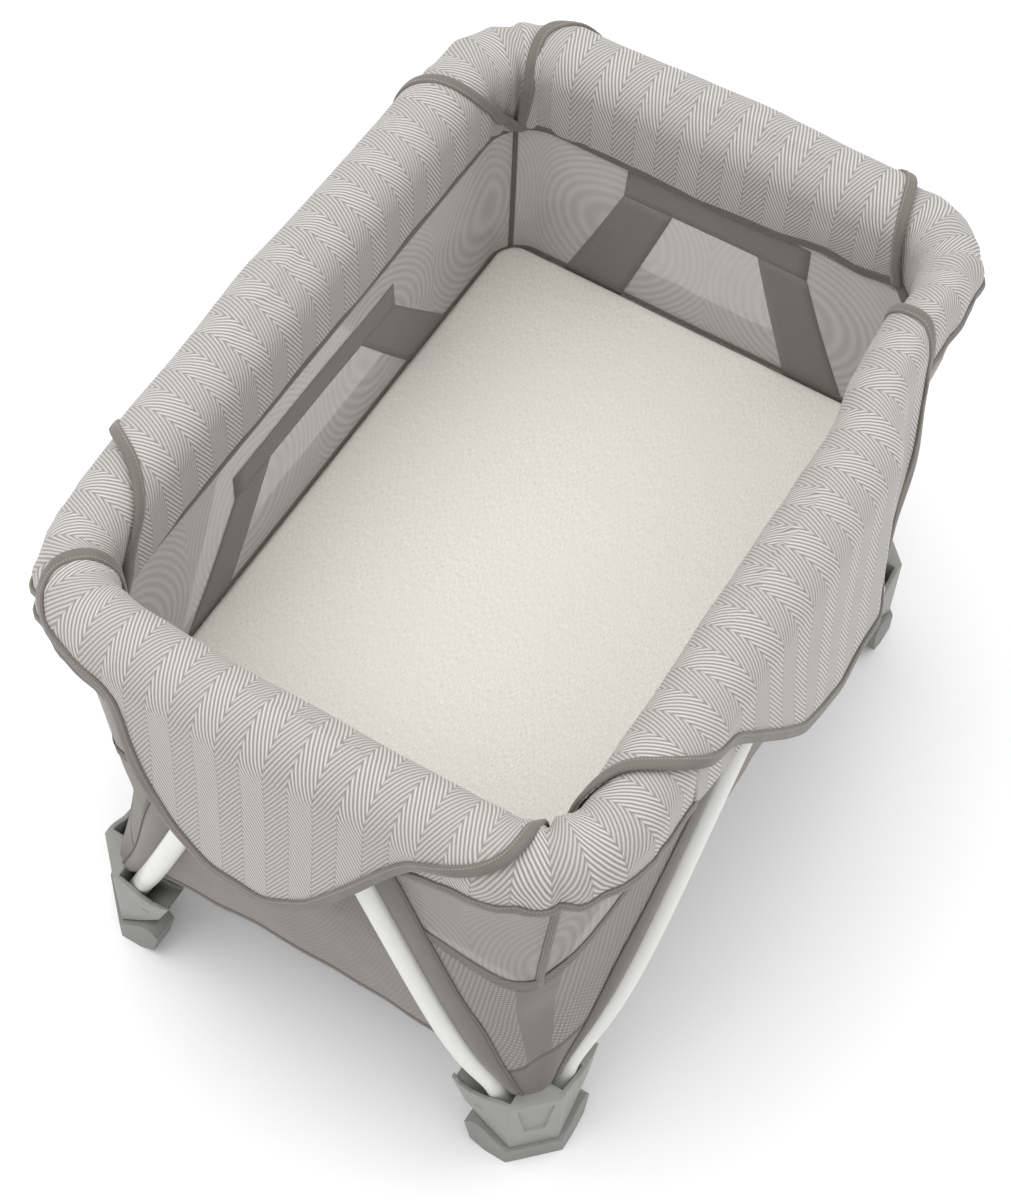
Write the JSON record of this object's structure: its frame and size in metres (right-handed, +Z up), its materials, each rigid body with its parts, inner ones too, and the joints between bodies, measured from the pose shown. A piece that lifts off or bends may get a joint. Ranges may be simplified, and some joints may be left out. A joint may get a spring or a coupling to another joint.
{
  "type": "travel play yard",
  "caption": "Rectangular folding play yard with a padded rim, mesh walls, a raised mattress and diverging curved leg tubes on corner feet.",
  "frame": {"origin": "on the floor, under the centre of the footprint", "axes": "+X along the long side, +Y along the short side away from the front, +Z up"},
  "size_m": [0.979, 0.723, 0.7214],
  "materials": {
    "feet": "fine satin texture",
    "boots": "matt",
    "tubes": "satin",
    "brackets": "satin",
    "buttons": "satin",
    "rim_cover": "herringbone weave",
    "padding": "herringbone weave over foam",
    "mesh": "open knitted mesh",
    "panels": "plain weave",
    "sheet": "heathered knit"
  },
  "bodies": {
    "foot_fl": {"foot_fl": "feet", "boot_fl": "boots", "mesh_wall_front": "mesh", "mesh_wall_left": "mesh", "cloth_panel_front": "panels", "cloth_panel_left": "panels"},
    "foot_fr": {"foot_fr": "feet", "boot_fr": "boots", "mesh_wall_right": "mesh", "cloth_panel_right": "panels"},
    "foot_bl": {"foot_bl": "feet", "boot_bl": "boots", "mesh_wall_back": "mesh", "cloth_panel_back": "panels"},
    "foot_br": {"foot_br": "feet", "boot_br": "boots"},
    "bracket_front": {"bracket_front": "brackets", "rim_pad_front": "padding", "petal_front": "rim_cover"},
    "button_front": {"button_front": "buttons"},
    "leg_front_neg": {"leg_front_neg": "tubes"},
    "rail_front_neg": {"rail_front_neg": "tubes"},
    "leg_front_pos": {"leg_front_pos": "tubes"},
    "rail_front_pos": {"rail_front_pos": "tubes"},
    "bracket_back": {"bracket_back": "brackets", "rim_pad_back": "padding", "petal_back": "rim_cover"},
    "button_back": {"button_back": "buttons"},
    "leg_back_neg": {"leg_back_neg": "tubes"},
    "rail_back_neg": {"rail_back_neg": "tubes"},
    "leg_back_pos": {"leg_back_pos": "tubes"},
    "rail_back_pos": {"rail_back_pos": "tubes"},
    "bracket_left": {"bracket_left": "brackets", "rim_pad_left": "padding", "petal_left": "rim_cover"},
    "button_left": {"button_left": "buttons"},
    "leg_left_neg": {"leg_left_neg": "tubes"},
    "rail_left_neg": {"rail_left_neg": "tubes"},
    "leg_left_pos": {"leg_left_pos": "tubes"},
    "rail_left_pos": {"rail_left_pos": "tubes"},
    "bracket_right": {"bracket_right": "brackets", "rim_pad_right": "padding", "petal_right": "rim_cover"},
    "button_right": {"button_right": "buttons"},
    "leg_right_neg": {"leg_right_neg": "tubes"},
    "rail_right_neg": {"rail_right_neg": "tubes"},
    "leg_right_pos": {"leg_right_pos": "tubes"},
    "rail_right_pos": {"rail_right_pos": "tubes"},
    "elbow_fl": {"elbow_fl": "brackets"},
    "link_fl": {"link_fl": "tubes"},
    "elbow_fr": {"elbow_fr": "brackets"},
    "link_fr": {"link_fr": "tubes"},
    "elbow_bl": {"elbow_bl": "brackets"},
    "link_bl": {"link_bl": "tubes"},
    "elbow_br": {"elbow_br": "brackets"},
    "link_br": {"link_br": "tubes"},
    "hub": {"hub": "brackets"},
    "mattress": {"mattress": "sheet", "support_panel": "panels"}
  },
  "joints": [
    {"name": "fold", "type": "hinge", "parent": "foot_fl", "child": "leg_front_neg", "pos_m": [-0.377, -0.279, 0.105], "axis": [0, -1, 0], "range_deg": [0, 31.32], "deforming": ["cloth_panel_back", "cloth_panel_front", "cloth_panel_left", "cloth_panel_right", "mattress", "mesh_wall_back", "mesh_wall_front", "mesh_wall_left", "mesh_wall_right", "petal_back", "petal_front", "petal_left", "petal_right", "rim_pad_back", "rim_pad_front", "rim_pad_left", "rim_pad_right", "support_panel"]},
    {"name": "bracket_front_level", "type": "hinge", "parent": "leg_front_neg", "child": "bracket_front", "pos_m": [-0.06, -0.321, 0.626], "axis": [0, -1, 0], "range_deg": [-31.62, 0]},
    {"name": "leg_front_pos_swing", "type": "hinge", "parent": "bracket_front", "child": "leg_front_pos", "pos_m": [0.06, -0.321, 0.626], "axis": [0, 1, 0], "range_deg": [0, 31.62]},
    {"name": "foot_fr_level", "type": "hinge", "parent": "leg_front_pos", "child": "foot_fr", "pos_m": [0.377, -0.279, 0.105], "axis": [0, 1, 0], "range_deg": [-31.62, 0]},
    {"name": "rail_front_neg_fold", "type": "hinge", "parent": "bracket_front", "child": "rail_front_neg", "pos_m": [-0.103, -0.282, 0.685], "axis": [0, -1, 0], "range_deg": [0, 110.03]},
    {"name": "rail_front_pos_fold", "type": "hinge", "parent": "bracket_front", "child": "rail_front_pos", "pos_m": [0.103, -0.282, 0.685], "axis": [0, 1, 0], "range_deg": [0, 110.03]},
    {"name": "button_front_press", "type": "slide", "parent": "bracket_front", "child": "button_front", "axis": [0, 0, 1], "range_m": [0, 0.004], "stiffness_N_per_m": 600, "springref_m": -0.002},
    {"name": "leg_left_neg_swing", "type": "hinge", "parent": "foot_fl", "child": "leg_left_neg", "pos_m": [-0.42, -0.24, 0.105], "axis": [1, 0, 0], "range_deg": [0, 19.36]},
    {"name": "bracket_left_level", "type": "hinge", "parent": "leg_left_neg", "child": "bracket_left", "pos_m": [-0.454, -0.06, 0.626], "axis": [1, 0, 0], "range_deg": [-19.36, 0]},
    {"name": "leg_left_pos_swing", "type": "hinge", "parent": "bracket_left", "child": "leg_left_pos", "pos_m": [-0.454, 0.06, 0.626], "axis": [-1, 0, 0], "range_deg": [0, 19.36]},
    {"name": "foot_bl_level", "type": "hinge", "parent": "leg_left_pos", "child": "foot_bl", "pos_m": [-0.42, 0.24, 0.105], "axis": [-1, 0, 0], "range_deg": [-19.36, 0]},
    {"name": "rail_left_neg_fold", "type": "hinge", "parent": "bracket_left", "child": "rail_left_neg", "pos_m": [-0.415, -0.045, 0.685], "axis": [1, 0, 0], "range_deg": [0, 96.68]},
    {"name": "elbow_fl_level", "type": "hinge", "parent": "rail_left_neg", "child": "elbow_fl", "pos_m": [-0.415, -0.207, 0.685], "axis": [1, 0, 0], "range_deg": [-96.68, 0]},
    {"name": "rail_left_pos_fold", "type": "hinge", "parent": "bracket_left", "child": "rail_left_pos", "pos_m": [-0.415, 0.045, 0.685], "axis": [-1, 0, 0], "range_deg": [0, 96.68]},
    {"name": "elbow_bl_level", "type": "hinge", "parent": "rail_left_pos", "child": "elbow_bl", "pos_m": [-0.415, 0.207, 0.685], "axis": [-1, 0, 0], "range_deg": [-96.68, 0]},
    {"name": "button_left_press", "type": "slide", "parent": "bracket_left", "child": "button_left", "axis": [0, 0, 1], "range_m": [0, 0.004], "stiffness_N_per_m": 600, "springref_m": -0.002},
    {"name": "leg_back_neg_swing", "type": "hinge", "parent": "foot_bl", "child": "leg_back_neg", "pos_m": [-0.377, 0.279, 0.105], "axis": [0, -1, 0], "range_deg": [0, 31.62]},
    {"name": "bracket_back_level", "type": "hinge", "parent": "leg_back_neg", "child": "bracket_back", "pos_m": [-0.06, 0.321, 0.626], "axis": [0, -1, 0], "range_deg": [-31.62, 0]},
    {"name": "leg_back_pos_swing", "type": "hinge", "parent": "bracket_back", "child": "leg_back_pos", "pos_m": [0.06, 0.321, 0.626], "axis": [0, 1, 0], "range_deg": [0, 31.62]},
    {"name": "foot_br_level", "type": "hinge", "parent": "leg_back_pos", "child": "foot_br", "pos_m": [0.377, 0.279, 0.105], "axis": [0, 1, 0], "range_deg": [-31.62, 0]},
    {"name": "rail_back_neg_fold", "type": "hinge", "parent": "bracket_back", "child": "rail_back_neg", "pos_m": [-0.103, 0.282, 0.685], "axis": [0, -1, 0], "range_deg": [0, 110.03]},
    {"name": "rail_back_pos_fold", "type": "hinge", "parent": "bracket_back", "child": "rail_back_pos", "pos_m": [0.103, 0.282, 0.685], "axis": [0, 1, 0], "range_deg": [0, 110.03]},
    {"name": "button_back_press", "type": "slide", "parent": "bracket_back", "child": "button_back", "axis": [0, 0, 1], "range_m": [0, 0.004], "stiffness_N_per_m": 600, "springref_m": -0.002},
    {"name": "leg_right_neg_swing", "type": "hinge", "parent": "foot_fr", "child": "leg_right_neg", "pos_m": [0.42, -0.24, 0.105], "axis": [1, 0, 0], "range_deg": [0, 19.36]},
    {"name": "bracket_right_level", "type": "hinge", "parent": "leg_right_neg", "child": "bracket_right", "pos_m": [0.454, -0.06, 0.626], "axis": [1, 0, 0], "range_deg": [-19.36, 0]},
    {"name": "leg_right_pos_swing", "type": "hinge", "parent": "bracket_right", "child": "leg_right_pos", "pos_m": [0.454, 0.06, 0.626], "axis": [-1, 0, 0], "range_deg": [0, 19.36]},
    {"name": "rail_right_neg_fold", "type": "hinge", "parent": "bracket_right", "child": "rail_right_neg", "pos_m": [0.415, -0.045, 0.685], "axis": [1, 0, 0], "range_deg": [0, 96.68]},
    {"name": "elbow_fr_level", "type": "hinge", "parent": "rail_right_neg", "child": "elbow_fr", "pos_m": [0.415, -0.207, 0.685], "axis": [1, 0, 0], "range_deg": [-96.68, 0]},
    {"name": "rail_right_pos_fold", "type": "hinge", "parent": "bracket_right", "child": "rail_right_pos", "pos_m": [0.415, 0.045, 0.685], "axis": [-1, 0, 0], "range_deg": [0, 96.68]},
    {"name": "elbow_br_level", "type": "hinge", "parent": "rail_right_pos", "child": "elbow_br", "pos_m": [0.415, 0.207, 0.685], "axis": [-1, 0, 0], "range_deg": [-96.68, 0]},
    {"name": "button_right_press", "type": "slide", "parent": "bracket_right", "child": "button_right", "axis": [0, 0, 1], "range_m": [0, 0.004], "stiffness_N_per_m": 600, "springref_m": -0.002},
    {"name": "link_fl_swing", "type": "hinge", "parent": "foot_fl", "child": "link_fl", "pos_m": [-0.385, -0.244, 0.06], "axis": [0.5165, -0.8563, 0], "range_deg": [0, 72.41]},
    {"name": "hub_level", "type": "hinge", "parent": "link_fl", "child": "hub", "pos_m": [-0.064, -0.0504, 0.17], "axis": [0.5165, -0.8563, 0], "range_deg": [-72.41, 0]},
    {"name": "link_fr_swing", "type": "hinge", "parent": "foot_fr", "child": "link_fr", "pos_m": [0.385, -0.244, 0.06], "axis": [0.5165, 0.8563, 0], "range_deg": [0, 72.41]},
    {"name": "link_bl_swing", "type": "hinge", "parent": "foot_bl", "child": "link_bl", "pos_m": [-0.385, 0.244, 0.06], "axis": [-0.5165, -0.8563, 0], "range_deg": [0, 72.41]},
    {"name": "link_br_swing", "type": "hinge", "parent": "foot_br", "child": "link_br", "pos_m": [0.385, 0.244, 0.06], "axis": [-0.5165, 0.8563, 0], "range_deg": [0, 72.41]},
    {"name": "mattress_lift", "type": "slide", "parent": "hub", "child": "mattress", "axis": [0, 0, 1], "range_m": [0, 0.302]}
  ],
  "couplings": [
    {"joint": "bracket_front_level", "follows": "fold", "ratio": -1},
    {"joint": "leg_front_pos_swing", "follows": "fold", "ratio": 1},
    {"joint": "foot_fr_level", "follows": "fold", "ratio": -1},
    {"joint": "rail_front_neg_fold", "follows": "fold", "ratio": 3.5036},
    {"joint": "rail_front_pos_fold", "follows": "fold", "ratio": 3.5036},
    {"joint": "leg_left_neg_swing", "follows": "fold", "ratio": 0.60858},
    {"joint": "bracket_left_level", "follows": "fold", "ratio": -0.60858},
    {"joint": "leg_left_pos_swing", "follows": "fold", "ratio": 0.60858},
    {"joint": "foot_bl_level", "follows": "fold", "ratio": -0.60858},
    {"joint": "rail_left_neg_fold", "follows": "fold", "ratio": 3.0774},
    {"joint": "elbow_fl_level", "follows": "fold", "ratio": -3.0774},
    {"joint": "rail_left_pos_fold", "follows": "fold", "ratio": 3.0774},
    {"joint": "elbow_bl_level", "follows": "fold", "ratio": -3.0774},
    {"joint": "leg_back_neg_swing", "follows": "fold", "ratio": 1},
    {"joint": "bracket_back_level", "follows": "fold", "ratio": -1},
    {"joint": "leg_back_pos_swing", "follows": "fold", "ratio": 1},
    {"joint": "foot_br_level", "follows": "fold", "ratio": -1},
    {"joint": "rail_back_neg_fold", "follows": "fold", "ratio": 3.5036},
    {"joint": "rail_back_pos_fold", "follows": "fold", "ratio": 3.5036},
    {"joint": "leg_right_neg_swing", "follows": "fold", "ratio": 0.60858},
    {"joint": "bracket_right_level", "follows": "fold", "ratio": -0.60858},
    {"joint": "leg_right_pos_swing", "follows": "fold", "ratio": 0.60858},
    {"joint": "rail_right_neg_fold", "follows": "fold", "ratio": 3.0774},
    {"joint": "elbow_fr_level", "follows": "fold", "ratio": -3.0774},
    {"joint": "rail_right_pos_fold", "follows": "fold", "ratio": 3.0774},
    {"joint": "elbow_br_level", "follows": "fold", "ratio": -3.0774},
    {"joint": "link_fl_swing", "follows": "fold", "ratio": 2.3026},
    {"joint": "hub_level", "follows": "fold", "ratio": -2.3026},
    {"joint": "link_fr_swing", "follows": "fold", "ratio": 2.3026},
    {"joint": "link_bl_swing", "follows": "fold", "ratio": 2.3026},
    {"joint": "link_br_swing", "follows": "fold", "ratio": 2.3026},
    {"joint": "mattress_lift", "follows": "fold", "m_per_rad": 0.54884}
  ]
}
